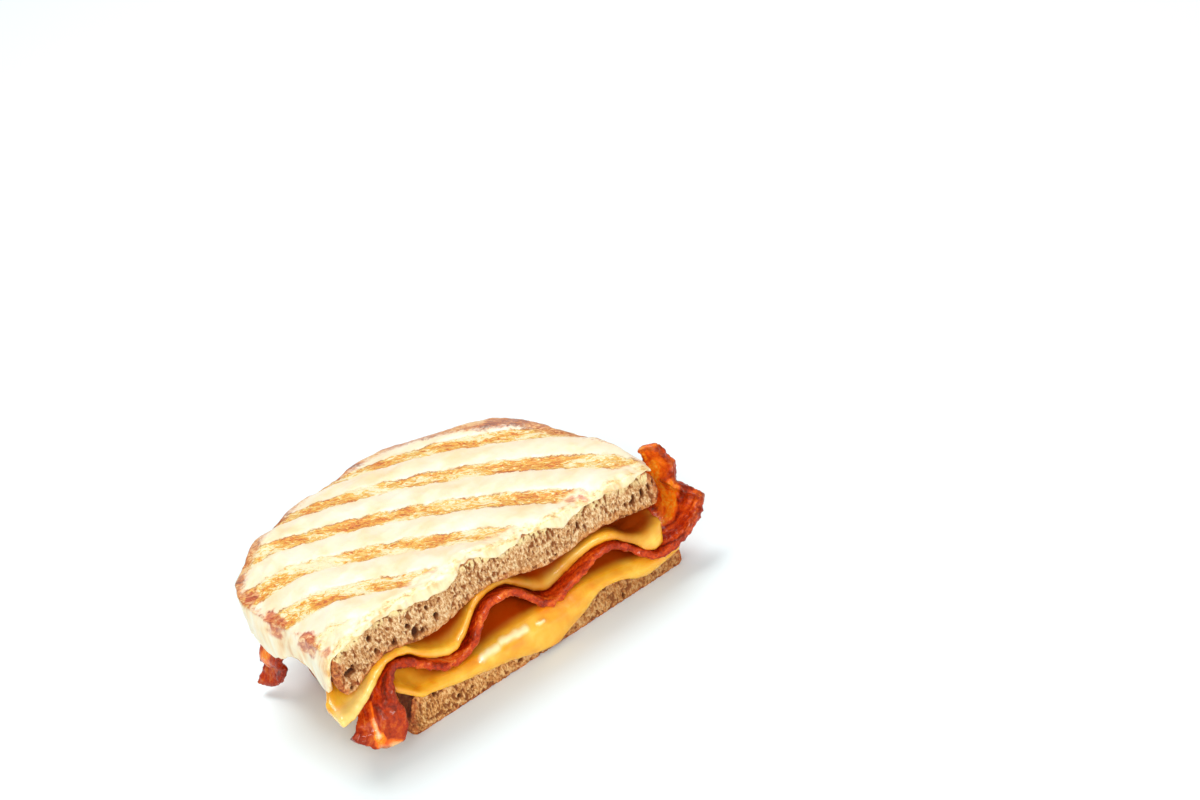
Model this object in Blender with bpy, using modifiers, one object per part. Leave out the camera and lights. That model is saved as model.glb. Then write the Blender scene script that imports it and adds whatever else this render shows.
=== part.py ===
"""Half of a bacon grilled cheese sandwich, as cut, lying on its lower slice.

Seven solids are stacked from the board up: the lower slice, a melted cheddar layer, two bacon
strips side by side, a second cheddar layer, the upper slice, and the white cheese that melted
over it and was pressed in a ribbed grill. X runs along the cut, Y goes back from the cut face,
and Z is up. Lengths below are in millimetres and become metres when a mesh is made.
"""
import math
import random

import bmesh
import bpy
import numpy as np
from mathutils import Matrix, Vector, noise

MM = 0.001

# Clear space kept between neighbouring pieces.
GAP = 0.35

# Outlines seen from above, from the left end of the cut round the back to its right end.
UPPER_OUTLINE = [(-59.5, 0), (-58.5, 19), (-60.7, 38), (-60.5, 53), (-53, 67), (-38, 79.2), (-15, 88.5),
                 (9, 90.5), (27, 81), (41, 66), (50, 44), (55, 20), (56, 0)]
LOWER_OUTLINE = [(-43.6, 0), (-47.5, 22), (-51, 44), (-50.5, 58), (-44, 70), (-33, 78.5), (-14, 86),
                 (8, 87.5), (26, 79), (40, 64), (49, 43), (54, 19), (55.8, 0)]
# Shares of the outline's length at which the left side becomes the back, and the back the right.
LEFT_END, RIGHT_START = 0.28, 0.68

# Heights along the cut edge, as (x, z) where the line turns.
TOP_AT_CUT = [(-60, 38.6), (-47, 42.6), (-28, 41.8), (-14, 42.4), (8, 39.6), (38, 36.8), (56, 35.8)]
UNDERSIDE_AT_CUT = [(-60, 23.4), (-55, 24.4), (-48, 28.6), (-41, 30.0), (-29, 27.2), (-4, 30.6),
                    (14, 25.6), (34, 26.4), (55, 22.0)]
LOWER_TOP_AT_CUT = [(-45, 13.0), (-38, 12.4), (-30, 11.5), (24, 11.5), (43, 8.0), (51, 8.0), (56, 8.8)]
# Away from the cut the layers are plain and fall slightly to the right.
TOP_INSIDE, UNDERSIDE_INSIDE, MIDDLE_INSIDE, LOWER_TOP_INSIDE = 39.6, 27.2, 18.9, 11.2
FALL_TO_RIGHT = 0.06
# The upper slice sinks at its left side and back, where the press bent it down.
LEFT_SINK, BACK_SINK = 4.4, 2.6
# How far the crust draws in above and below the middle of a slice, as a share of its width, and
# how much lower a slice is at its rim.
CRUST_ROUNDING, LOWER_ROUNDING = 0.03, 0.022
UPPER_RIM_DROP, LOWER_RIM_DROP = 1.2, 0.8
# At the left end of the cut the lower slice leans out by this much from its middle to its foot,
# and behind the cut its upper half is dented by this much under the cheddar.
LOWER_LEAN, LOWER_DENT = 1.4, 3.6
UPPER_THICKNESS = 12.0
CRUMB_RELIEF = 0.7

# White cheese: its thickness, which thins towards the cut, the grill's grooves, and how far drips
# hang down the crust, as (share of the outline's length, length of the drip). A pressed-out brim
# stands over the drips, as (share, reach); its underside reaches out less, so it is a thick bead.
# The lip hangs over the cut as (x, drop).
# A groove runs where its number is whole. The number is the sum of these six times 1, x, y, xx,
# xy and yy, with x and y in units of GROOVE_UNIT, because the grooves bend and spread slightly.
CHEESE_THICKNESS = 1.7
THIN_AT_CUT, THIN_REACH = 0.65, 8.0
LIP_THICKNESS = 0.8
CAP_COLUMNS, CAP_ROWS = 36, 15
DRIP_ROWS = [1.1, 1.2, 1.3]
SHOULDER = 2.2
GROOVE_DEPTH = 0.9
GROOVE_UNIT = 50.0
GROOVE_NUMBERS = (3.38, -1.91, -1.67, -0.20, 0.30, -0.27)
DRIPS = [(0.0, 2.5), (0.012, 8.5), (0.03, 13.0), (0.048, 12.0), (0.062, 8.2), (0.085, 6.4), (0.11, 7.4),
         (0.135, 10.0), (0.155, 12.0), (0.177, 12.6), (0.19, 9.4), (0.215, 10.0), (0.235, 11.8),
         (0.252, 9.8), (0.275, 4.2), (0.31, 7.5), (0.35, 3.2), (0.40, 6.8), (0.44, 3.0), (0.49, 5.2),
         (0.53, 7.4), (0.57, 3.0), (0.62, 6.2), (0.67, 3.4), (0.72, 7.0), (0.77, 3.4), (0.82, 5.4),
         (0.87, 2.0), (0.92, 0.9), (1.0, 0.9)]
BRIM = [(0.0, 0.0), (0.1, 0.7), (0.175, 0.9), (0.21, 1.5), (0.244, 2.2), (0.28, 0.9), (0.45, 0.4),
        (0.7, 0.5), (0.9, 0.3), (1.0, 0.0)]
BRIM_UNDER = 0.4
LIP_DROP = [(-60, 0.0), (-52, 0.0), (-46, 0.8), (-38, 0.2), (-35, 0.0), (-30, 1.0), (-23, 2.4), (-16.5, 2.6),
            (-12, 0.2), (-8, 0.0), (-4, 0.2), (0.7, 2.4), (5.5, 0.6), (10.5, 0.0), (16, 0.0), (23, 2.6),
            (28.5, 0.4), (33, 0.0), (39, 0.0), (45, 1.0), (51, 0.3), (58, 0.0)]

# Bacon: thickness, the wave of the front strip at the cut as (x, z), and the ends of both
# strips as ribs across the strip, each with its front, middle and back point.
BACON_THICKNESS = 2.4
# Cheddar keeps this clear of bacon that lies within this reach of it.
BACON_ROOM = BACON_THICKNESS / 2 + GAP + 0.15
BACON_REACH = (1.3, 3.6)
BACON_WAVE = [(-38, 25.6), (-31, 19.0), (-24.5, 15.9), (-19.5, 16.6), (-14, 22.0), (-8, 26.6),
              (-1.5, 27.1), (2.5, 24.0), (6.5, 17.9), (13, 15.2), (19, 17.6), (26, 19.7),
              (36, 20.0), (40.5, 15.6)]
FRONT_EDGE, FRONT_MIDDLE, FRONT_BACK = -2.2, 7.5, 18.0
# The wave is this much flatter under the middle and the back edge of the strip.
WAVE_FADE = (0.3, 0.65)
FLAP_RIBS = [((-49.2, -6.0, 6.0), (-57.0, -4.6, 7.6), (-63.2, -1.6, 13.4)),
             ((-45.8, -5.6, 12.0), (-52.4, -4.6, 12.4), (-59.8, -0.4, 14.6)),
             ((-46.0, -4.6, 19.0), (-50.4, -2.4, 18.4), (-55.2, 4.5, 17.0)),
             ((-44.8, -3.4, 24.6), (-47.4, 2.5, 23.4), (-49.4, 11.0, 20.4)),
             ((-42.0, -2.4, 26.8), (-42.4, 7.0, 26.4), (-42.8, 17.0, 24.6))]
LOBE_RIBS = [((44.8, -4.2, 10.7), (45.3, 6.0, 11.6), (46.0, 17.0, 14.2)),
             ((50.3, -5.0, 10.1), (51.2, 5.0, 11.7), (52.0, 15.0, 14.3)),
             ((55.6, -4.8, 11.0), (56.8, 4.5, 12.4), (57.4, 15.5, 14.4)),
             ((60.9, -4.2, 13.2), (60.2, 5.0, 14.8), (57.9, 16.5, 16.6)),
             ((65.4, -3.0, 15.9), (62.8, 5.0, 17.4), (57.8, 17.0, 19.0)),
             ((67.6, -2.0, 18.2), (63.8, 5.4, 19.6), (58.5, 15.6, 21.2)),
             ((65.0, -0.2, 21.6), (62.6, 6.4, 22.4), (58.9, 14.2, 23.6)),
             ((61.8, 2.2, 24.2), (61.2, 7.8, 25.0), (58.9, 14.0, 26.0)),
             ((64.6, 4.6, 26.0), (62.4, 8.6, 27.2), (59.0, 13.4, 28.6)),
             ((66.0, 5.8, 29.2), (62.9, 9.0, 30.0), (59.3, 12.4, 31.0)),
             ((64.6, 6.4, 32.8), (62.2, 8.8, 33.4), (59.2, 11.4, 33.8)),
             ((63.4, 6.8, 36.2), (61.2, 9.2, 36.8), (58.8, 11.6, 36.2))]
BACK_LEFT_RIBS = [((-60.2, 56.5, 5.4), (-62.6, 61.5, 3.4), (-64.2, 66.5, 3.4)),
                  ((-57.8, 54.5, 10.6), (-58.4, 60.0, 9.8), (-59.2, 66.0, 9.4)),
                  ((-59.4, 53.0, 13.4), (-60.4, 58.5, 12.8), (-60.6, 65.0, 12.2)),
                  ((-56.4, 51.5, 17.6), (-56.4, 58.5, 17.2), (-56.4, 66.0, 17.0)),
                  ((-50.4, 50.5, 20.4), (-50.4, 58.5, 20.4), (-50.0, 66.5, 20.2))]
BACK_RIGHT_RIBS = [((46.0, 49.5, 16.6), (43.6, 57.5, 17.2), (40.4, 65.5, 17.6)),
                   ((53.0, 48.5, 18.4), (50.6, 56.0, 20.0), (46.6, 63.0, 18.8))]
BACK_STRIP = (50.0, 58.5, 67.0)
BACK_WAVE_HEIGHT, BACK_WAVE_LENGTH = 1.2, 32.0

# Cheddar: rows from the cut to the back, how far the edges wave in and out, the corner that
# hangs out at the left of the cut, the pocket that sags at the right, and how low the curtain of
# the lower layer hangs over the cut face.
CHEDDAR_ROWS = [0.0, 2.5, 6.0, 10.5, 16.0, 21.0, 25.0, 35.0, 45.0, 50.0, 58.5, 67.0, 72.0, 80.0, 86.0]
CHEDDAR_COLUMNS = 30
CHEDDAR_MIN = 0.9
CUT_EDGE_THICKNESS = 2.4
UPPER_OOZE, LOWER_OOZE = 1.1, 1.2
CORNER_THICKNESS = 3.0
CORNER_REACH, CORNER_FORWARD, CORNER_SAG, CORNER_HANG = 5.8, 1.5, 0.6, 0.0
# Near the cut the upper layer ends this far inside the slice at the right. It is thicker there, a
# full pocket with a recess behind its edge and a rounded foot.
POCKET_PULL, POCKET_HEIGHT, POCKET_RECESS, POCKET_FOOT = 3.2, 4.5, 6.0, 1.8
# The lower layer reaches out this far at the left and stands clear of the slice there.
HOLLOW_REACH, HOLLOW_THICKNESS = 1.8, 3.4
LIP_REACH = [(-60, -2.6), (-50, -1.2), (-30, -0.5), (34, -0.6), (42, -3.0), (50, -3.2), (56, -1.4)]
CURTAIN_ROWS = [-3, -2, -1]
CURTAIN_THICKNESS = 2.0
CURTAIN_EDGE = [(-46, 20.0), (-43.5, 19.0), (-41.3, 16.2), (-40.2, 14.2), (-38.5, 12.4), (-35.6, 12.4),
                (-31, 10.6), (-23, 8.6), (-15, 6.9), (-7, 5.2), (1, 2.6), (8, 1.8), (13.4, 4.0),
                (19.5, 6.2), (26, 9.6), (33, 8.6), (42, 4.6), (49, 5.4), (55, 6.6)]

# Seeds baked on the crust of the sides away from the cut.
SEEDS_PER_SLICE = 16
SEED_SIZE = (1.65, 1.05, 0.75)
SEED_SUNK = 0.15
SEED_SHARES = (0.31, 0.97)
# Heights in a slice, -1 at its underside to 1 at its top; on the upper slice they start low and
# stop this far below the drips.
LOWER_SEED_LEVELS = (-0.45, 0.5)
UPPER_SEED_LOW, DRIP_CLEARANCE = -0.8, 4.0

MATERIALS = {
    "bread": ((0.62, 0.42, 0.24), 0.85),
    "white_cheese": ((0.93, 0.82, 0.56), 0.4),
    "cheddar": ((0.93, 0.5, 0.06), 0.3),
    "bacon": ((0.42, 0.09, 0.03), 0.4),
}


def ease(low, high, value):
    """0 at low, 1 at high, with a soft slope between; low may be the larger one."""
    t = min(max((value - low) / (high - low), 0.0), 1.0)
    return t * t * (3.0 - 2.0 * t)


def mix(first, second, share):
    return first + (second - first) * share


def curve_at(knots, points, at):
    """Point of the smooth curve that passes through points at their knots."""
    knots = np.asarray(knots, dtype=float)
    points = np.asarray(points, dtype=float)
    at = min(max(at, knots[0]), knots[-1])
    slopes = np.gradient(points, knots, axis=0)
    i = min(int(np.searchsorted(knots, at, side="right")) - 1, len(knots) - 2)
    span = knots[i + 1] - knots[i]
    u = (at - knots[i]) / span
    start = (1 + 2 * u) * (1 - u) ** 2 * points[i] + u * (1 - u) ** 2 * span * slopes[i]
    end = u * u * (3 - 2 * u) * points[i + 1] + u * u * (u - 1) * span * slopes[i + 1]
    return start + end


def height_along(line, x):
    """Height at x of a line given by the (x, z) points where it turns."""
    xs, zs = zip(*line)
    return float(curve_at(xs, zs, x))


class Outline:
    """The plan of a slice: its rounded outline and a patch of rows and columns inside it."""

    def __init__(self, points):
        self.points = np.array(points, dtype=float)
        steps = np.linalg.norm(np.diff(self.points, axis=0), axis=1)
        self.knots = np.concatenate([[0.0], np.cumsum(steps)]) / steps.sum()
        shares = np.linspace(0.0, 1.0, 241)
        self.fine = np.array([self.edge(share) for share in shares])
        self.rear = int(np.argmax(self.fine[:, 1]))

    def edge(self, share):
        return curve_at(self.knots, self.points, share)

    def patch(self, a, b):
        """Point for a, -1 at the left to 1 at the right, and b, 0 at the cut to 1 at the back."""
        u = (a + 1) / 2
        front = mix(self.points[0], self.points[-1], u)
        back = self.edge(mix(LEFT_END, RIGHT_START, u))
        left = self.edge(LEFT_END * b)
        right = self.edge(1 - (1 - RIGHT_START) * b)
        low = mix(self.points[0], self.points[-1], u)
        high = mix(self.edge(LEFT_END), self.edge(RIGHT_START), u)
        return mix(front, back, b) + mix(left, right, u) - mix(low, high, b)

    def share(self, a, b):
        """Share of the outline's length at a point of the patch's left, back or right side."""
        if abs(a) < b:
            return mix(LEFT_END, RIGHT_START, (a / b + 1) / 2)
        return LEFT_END * b if a < 0 else 1 - (1 - RIGHT_START) * b

    def outward(self, share):
        ahead, behind = self.edge(min(share + 0.01, 1.0)), self.edge(max(share - 0.01, 0.0))
        along = (ahead - behind) / np.linalg.norm(ahead - behind)
        return np.array([-along[1], along[0]])

    def sides(self, y):
        """The outline's left and right x at a distance y behind the cut."""
        y = max(y, 0.0)
        left, right = self.fine[:self.rear + 1], self.fine[self.rear:][::-1]
        return np.interp(y, left[:, 1], left[:, 0]), np.interp(y, right[:, 1], right[:, 0])


UPPER = Outline(UPPER_OUTLINE)
LOWER = Outline(LOWER_OUTLINE)


def sink(x, y):
    left = LEFT_SINK * ease(-42, -61, x) * mix(0.3, 1.0, ease(0, 20, y))
    return left + BACK_SINK * ease(66, 92, y)


def upper_top(x, y):
    inside = TOP_INSIDE - FALL_TO_RIGHT * x - sink(x, y)
    return mix(height_along(TOP_AT_CUT, x), inside, ease(0, 20, y))


def upper_underside(x, y):
    inside = UNDERSIDE_INSIDE - FALL_TO_RIGHT * x - sink(x, y)
    return mix(height_along(UNDERSIDE_AT_CUT, x), inside, ease(3, 24, y))


def lower_top(x, y):
    return mix(height_along(LOWER_TOP_AT_CUT, x), LOWER_TOP_INSIDE, ease(2, 24, y))


def front_wave(x):
    if x < BACON_WAVE[0][0]:
        return BACON_WAVE[0][1]
    return height_along(BACON_WAVE, x) if x < BACON_WAVE[-1][0] else 12.0


def middle(x, y):
    """Height at which the two cheddar layers meet where no bacon lies between them."""
    inside = MIDDLE_INSIDE - FALL_TO_RIGHT * x
    return mix(front_wave(x), inside, ease(0, 26, y))


def crumb(x, z, salt):
    """How deep the cut crumb lies behind the cut plane, uneven as torn bread is."""
    return CRUMB_RELIEF * (0.5 + 0.5 * noise.noise(Vector((x * 0.31, salt, z * 0.31))))


def upper_slice(a, b, c):
    pull = 1 - CRUST_ROUNDING * c ** 4
    x, y = UPPER.patch(a * pull, b * pull)
    z = mix(upper_underside(x, y), upper_top(x, y), (c + 1) / 2)
    z -= UPPER_RIM_DROP * c * ease(0.9, 1.0, max(abs(a), b))
    if b == 0:
        y += crumb(x, z, 3.0)
    return x, y, z


def lower_slice(a, b, c):
    pull = 1 - LOWER_ROUNDING * c ** 4
    x, y = LOWER.patch(a * pull, b * pull)
    z = mix(0.0, lower_top(x, y), (c + 1) / 2)
    dent = LOWER_DENT * ease(0, 3, y) * ease(15, 8, y) * ease(-0.6, 0.4, c)
    x += (LOWER_LEAN * c * ease(14, 2, y) + dent) * ease(-30, -44, x)
    z -= LOWER_RIM_DROP * max(c, 0.0) * ease(0.9, 1.0, max(abs(a), b))
    if b == 0:
        y += crumb(x, z, 8.0)
    return x, y, z


def groove(x, y):
    """1 in the middle of a grill mark, 0 on the raised white bands between them."""
    x, y = x / GROOVE_UNIT, y / GROOVE_UNIT
    number = float(np.dot(GROOVE_NUMBERS, (1.0, x, y, x * x, x * y, y * y)))
    return ease(0.25, 0.75, 0.5 + 0.5 * math.cos(2 * math.pi * number))


def white_cheese(a, b, c):
    """Inner (c -1) or outer (c 1) surface of the cap; past 1 and below 0 it hangs over an edge."""
    rim = max(abs(a), b)
    past = max(rim, 1.0)
    on_a, on_b = a / past, max(b, 0.0) / past
    share = UPPER.share(on_a, on_b)
    hang = (past - 1.0) / (DRIP_ROWS[-1] - 1.0)
    drop = hang * height_along(DRIPS, share)
    if past < DRIP_ROWS[1]:
        drop = min(drop, SHOULDER)
    level = max(1.0 - 2.0 * drop / UPPER_THICKNESS, 0.0)
    pull = 1 - CRUST_ROUNDING * level ** 4
    x, y = UPPER.patch(on_a * pull, on_b * pull)
    z = upper_top(x, y) - UPPER_RIM_DROP * ease(0.9, 1.0, rim) - drop
    lean = 0.5 * math.pi * ease(0.93, DRIP_ROWS[0], rim)
    thickness = CHEESE_THICKNESS - GROOVE_DEPTH * groove(x, y) * (1 - hang)
    thickness *= mix(THIN_AT_CUT, 1.0, ease(0, THIN_REACH, y))
    offset = GAP + 0.1 + 0.25 * ease(0.93, 1.0, rim) + (c + 1) / 2 * thickness
    brim = height_along(BRIM, share) * ease(0.9, 1.0, rim) * ease(DRIP_ROWS[0] + 0.03, 1.0, past)
    brim *= mix(BRIM_UNDER, 1.0, (c + 1) / 2)
    out = UPPER.outward(share) * (math.sin(lean) * offset + brim)
    x, y, z = x + out[0], y + out[1], z + math.cos(lean) * offset
    if b < 0:
        y -= GAP + (c + 1) / 2 * LIP_THICKNESS
        lip = 0.0 if rim > 1 else height_along(LIP_DROP, x)
        z = min(z, upper_top(x, 0.0) - 0.3) - lip
    elif b == 0:
        y -= (c + 1) / 2 * LIP_THICKNESS * 0.7
    return x, y, z


def strip_ribs(left, middle_ribs, right):
    return [np.array(rib, dtype=float) for rib in left + middle_ribs + right]


def front_ribs():
    ribs = []
    for x in np.linspace(BACON_WAVE[0][0], BACON_WAVE[-1][0], 27):
        z = height_along(BACON_WAVE, x)
        flat = MIDDLE_INSIDE - FALL_TO_RIGHT * x
        edge = FRONT_EDGE + 0.5 * math.sin(x * 0.5)
        middle_z, back_z = [mix(z, flat, share) for share in WAVE_FADE]
        ribs.append(((x, edge, z), (x, FRONT_MIDDLE, middle_z), (x, FRONT_BACK, back_z)))
    return strip_ribs(FLAP_RIBS, ribs, LOBE_RIBS)


def back_height(x):
    wave = BACK_WAVE_HEIGHT * math.sin(2 * math.pi * x / BACK_WAVE_LENGTH)
    return MIDDLE_INSIDE - FALL_TO_RIGHT * x + wave


def back_ribs():
    ribs = []
    for x in np.linspace(-44, 38, 12):
        ribs.append(tuple((x, y, back_height(x)) for y in BACK_STRIP))
    return strip_ribs(BACK_LEFT_RIBS, ribs, BACK_RIGHT_RIBS)


def strip_point(ribs, along, across):
    """Point of a strip: along in ribs from its left end, across 0 at the front to 1 behind."""
    front, centre, back = curve_at(range(len(ribs)), ribs, along)
    bulge = 4 * across * (1 - across)
    straight = mix(front, back, across)
    return straight + bulge * (centre - mix(front, back, 0.5))


def bacon_samples(ribs):
    points = [strip_point(ribs, along, across) for along in np.arange(0, len(ribs) - 0.99, 0.25)
              for across in np.linspace(0, 1, 9)]
    return np.array(points)


FRONT_RIBS, BACK_RIBS = front_ribs(), back_ribs()
BACON_POINTS = np.vstack([bacon_samples(FRONT_RIBS), bacon_samples(BACK_RIBS)])


def near_bacon(x, y):
    near = np.abs(BACON_POINTS[:, :2] - (x, y)) < BACON_REACH
    return BACON_POINTS[near.all(axis=1), 2]


def above_bacon(x, y, z):
    heights = near_bacon(x, y)
    return max(z, heights.max() + BACON_ROOM) if len(heights) else z


def below_bacon(x, y, z):
    heights = near_bacon(x, y)
    return min(z, heights.min() - BACON_ROOM) if len(heights) else z


def upper_cheddar(column, row, side):
    """Corner of the upper cheddar: column -1 to 1, row a distance y, side -1 below or 1 above."""
    left, right = UPPER.sides(row)
    ooze = UPPER_OOZE * math.sin(row * 0.33) * ease(20, 30, row)
    right -= POCKET_PULL * ease(14, 3, row)
    x = mix(left + 1.4 - ooze, right - 1.2 + ooze, (column + 1) / 2)
    y = height_along(LIP_REACH, x) if row == 0 else row
    if row == 0 and side < 0:
        x -= POCKET_FOOT * ease(44, 51, x)
    corner = ease(-46, -58, x)
    hang = (CORNER_SAG * ease(18, 10, row) + CORNER_HANG * ease(9, -2, y)) * corner
    x -= CORNER_REACH * corner * ease(15, 7, row)
    ceiling = upper_underside(max(x, left), max(y, 0)) - GAP
    floor = mix(middle(x, y) + 0.2, ceiling - CORNER_THICKNESS, ease(-45, -53, x))
    y -= CORNER_FORWARD * corner * ease(6, 0, row)
    low = above_bacon(x, y, floor - hang)
    at_cut = min(ceiling - hang, low + CUT_EDGE_THICKNESS + POCKET_HEIGHT * ease(41, 46, x))
    recess = POCKET_RECESS * ease(35, 40, x) * ease(49, 46, x)
    high = mix(at_cut, ceiling - hang, ease(1.0 + recess / 2, 9.0 + recess, y))
    return x, y, (max(high, low + CHEDDAR_MIN) if side > 0 else low)


def lower_cheddar(column, row, side):
    """Corner of the lower cheddar; rows below 0 hang in front of the lower slice."""
    left, right = LOWER.sides(row)
    ooze = LOWER_OOZE * math.sin(row * 0.41 + 1.0) * ease(18, 30, row)
    left -= HOLLOW_REACH * ease(14, 3, row)
    x = mix(left + 0.8 - ooze, right - 0.9 + ooze, (column + 1) / 2)
    shelf = lower_top(x, max(row, 0)) + GAP
    roof = below_bacon(x, max(row, 0), middle(x, max(row, 0)) - 0.2)
    shelf = mix(shelf, max(roof - HOLLOW_THICKNESS, shelf), ease(-39.3, -44, x) * ease(14, 6, row))
    if row >= 0:
        roof = min(roof, mix(shelf + 1.8, roof, ease(0.5, 9.0, row)))
        return x, row - 0.2, (max(roof, shelf + CHEDDAR_MIN) if side > 0 else shelf)
    tip = min(height_along(CURTAIN_EDGE, x), shelf - 0.6)
    share = (row - CURTAIN_ROWS[0]) / (0 - CURTAIN_ROWS[0])
    if side < 0:
        return x, -GAP, mix(tip, shelf, share)
    bulge = math.sin(math.pi * mix(0.12, 0.75, share))
    return x, -GAP - CURTAIN_THICKNESS * bulge, mix(tip - 0.3, shelf + 1.2, share)


def lattice(columns, rows, levels):
    """A box cut by planes at the given values of each axis, as rows and columns of faces."""
    bm = bmesh.new()
    axes = [sorted(values) for values in (columns, rows, levels)]
    lows, highs = [Vector(axis[end] for axis in axes) for end in (0, -1)]
    size = Matrix.Diagonal(highs - lows).to_4x4()
    bmesh.ops.create_cube(bm, size=1.0, matrix=Matrix.Translation((lows + highs) / 2) @ size)
    for number, axis in enumerate(axes):
        normal = Vector((0, 0, 0))
        normal[number] = 1
        for value in axis[1:-1]:
            geometry = bm.verts[:] + bm.edges[:] + bm.faces[:]
            bmesh.ops.bisect_plane(bm, geom=geometry, plane_co=normal * value, plane_no=normal)
    return bm


def shape(bm, place, axes):
    """Moves each corner of a lattice to where place puts it, with its exact lattice values."""
    axes = [np.array(sorted(values), dtype=float) for values in axes]
    for vert in bm.verts:
        exact = [float(axis[np.argmin(np.abs(axis - value))]) for axis, value in zip(axes, vert.co)]
        vert.co = Vector(place(*exact)) * MM
    bmesh.ops.recalc_face_normals(bm, faces=bm.faces)


def material(name):
    made = bpy.data.materials.get(name)
    if made is None:
        made = bpy.data.materials.new(name)
        made.use_nodes = True
        colour, roughness = MATERIALS[name]
        shader = made.node_tree.nodes["Principled BSDF"]
        shader.inputs["Base Color"].default_value = (*colour, 1.0)
        shader.inputs["Roughness"].default_value = roughness
    return made


def add_object(name, bm, finish, collection):
    mesh = bpy.data.meshes.new(name)
    bm.to_mesh(mesh)
    bm.free()
    mesh.shade_smooth()
    mesh.set_sharp_from_angle(angle=math.radians(50))
    mesh.materials.append(material(finish))
    made = bpy.data.objects.new(name, mesh)
    collection.objects.link(made)
    return made


def make_layer(name, finish, place, axes, collection):
    bm = lattice(*axes)
    shape(bm, place, axes)
    return add_object(name, bm, finish, collection)


def make_strip(name, ribs, steps, collection):
    """A strip of bacon: a grid laid along the ribs and thickened to both sides."""
    bm = bmesh.new()
    bmesh.ops.create_grid(bm, x_segments=steps, y_segments=5, size=1.0)
    for vert in bm.verts:
        along, across = (vert.co.x + 1) / 2 * (len(ribs) - 1), (vert.co.y + 1) / 2
        vert.co = Vector(strip_point(ribs, along, across)) * MM
    bmesh.ops.recalc_face_normals(bm, faces=bm.faces)
    made = add_object(name, bm, "bacon", collection)
    thicken = made.modifiers.new("thickness", "SOLIDIFY")
    thicken.thickness = BACON_THICKNESS * MM
    thicken.offset = 0.0
    return made


def seed_place(slice_shape, outline, draw):
    """Where a seed lies on the crust and which way it faces; the drips above stay clear."""
    share = draw.uniform(*SEED_SHARES)
    if outline is UPPER:
        room = UPPER_THICKNESS - height_along(DRIPS, share) - DRIP_CLEARANCE
        level = UPPER_SEED_LOW + draw.uniform(0.0, max(room, 0.5)) / UPPER_THICKNESS * 2
    else:
        level = draw.uniform(*LOWER_SEED_LEVELS)
    if share < RIGHT_START:
        a, b = 2 * (share - LEFT_END) / (RIGHT_START - LEFT_END) - 1, 1.0
    else:
        a, b = 1.0, (1 - share) / (1 - RIGHT_START)
    centre = Vector(slice_shape(a, b, level))
    outward = Vector((*outline.outward(share), 0.0))
    return centre, outward, draw.uniform(0, math.pi)


def fuse_seeds(bread, slice_shape, outline, seed_number):
    """Joins a scatter of seeds to the crust of a slice with one Boolean union."""
    seeds = bpy.data.collections.new(bread.name + "_seeds")
    bpy.context.scene.collection.children.link(seeds)
    draw = random.Random(seed_number)
    taken = []
    while len(taken) < SEEDS_PER_SLICE:
        centre, outward, turn = seed_place(slice_shape, outline, draw)
        if any((centre - other).length < 2.6 * SEED_SIZE[0] for other in taken):
            continue
        taken.append(centre)
        bm = bmesh.new()
        bmesh.ops.create_uvsphere(bm, u_segments=5, v_segments=4, radius=1.0)
        facing = outward.to_track_quat("Z", "Y").to_matrix().to_4x4()
        place = Matrix.Translation((centre - outward * SEED_SUNK) * MM) @ facing
        size = Matrix.Diagonal(Vector(SEED_SIZE) * MM).to_4x4()
        bm.transform(place @ Matrix.Rotation(turn, 4, "Z") @ size)
        add_object("seed", bm, "bread", seeds)
    union = bread.modifiers.new("seeds", "BOOLEAN")
    union.operation = "UNION"
    union.operand_type = "COLLECTION"
    union.collection = seeds
    union.solver = "EXACT"
    bpy.context.view_layer.objects.active = bread
    bpy.ops.object.modifier_apply(modifier=union.name)
    for seed in list(seeds.objects):
        bpy.data.objects.remove(seed)
    bpy.data.collections.remove(seeds)


def centre_on_origin(pieces):
    """Moves all pieces so that the middle of their common underside is the origin."""
    graph = bpy.context.evaluated_depsgraph_get()
    corners = np.vstack([[tuple(corner) for corner in piece.evaluated_get(graph).bound_box]
                         for piece in pieces])
    low, high = corners.min(axis=0), corners.max(axis=0)
    move = Matrix.Translation((-(low[0] + high[0]) / 2, -(low[1] + high[1]) / 2, 0.0))
    for piece in pieces:
        piece.data.transform(move)


def build():
    for old in list(bpy.data.objects):
        bpy.data.objects.remove(old)
    sandwich = bpy.data.collections.new("bacon_grilled_cheese_half")
    bpy.context.scene.collection.children.link(sandwich)

    columns = np.linspace(-1, 1, 31)
    rows = np.linspace(0, 1, 11) ** 1.3
    levels = np.linspace(-1, 1, 5)
    drips = DRIP_ROWS
    cap_columns = [-value for value in drips] + list(np.linspace(-1, 1, CAP_COLUMNS + 1)) + drips
    cap_rows = [-0.05] + list(np.linspace(0, 1, CAP_ROWS) ** 1.2) + drips
    cheddar_columns = np.linspace(-1, 1, CHEDDAR_COLUMNS + 1)
    faces = (-1, 1)

    lower = make_layer("bread_bottom", "bread", lower_slice, (columns, rows, levels), sandwich)
    fuse_seeds(lower, lower_slice, LOWER, 11)
    upper = make_layer("bread_top", "bread", upper_slice, (columns, rows, levels), sandwich)
    fuse_seeds(upper, upper_slice, UPPER, 23)
    pieces = [
        lower,
        upper,
        make_layer("grilled_cheese", "white_cheese", white_cheese,
                   (cap_columns, cap_rows, faces), sandwich),
        make_layer("cheddar_top", "cheddar", upper_cheddar,
                   (cheddar_columns, CHEDDAR_ROWS, faces), sandwich),
        make_layer("cheddar_bottom", "cheddar", lower_cheddar,
                   (cheddar_columns, CURTAIN_ROWS + CHEDDAR_ROWS, faces), sandwich),
        make_strip("bacon_front", FRONT_RIBS, 64, sandwich),
        make_strip("bacon_back", BACK_RIBS, 40, sandwich),
    ]
    centre_on_origin(pieces)


build()
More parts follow.
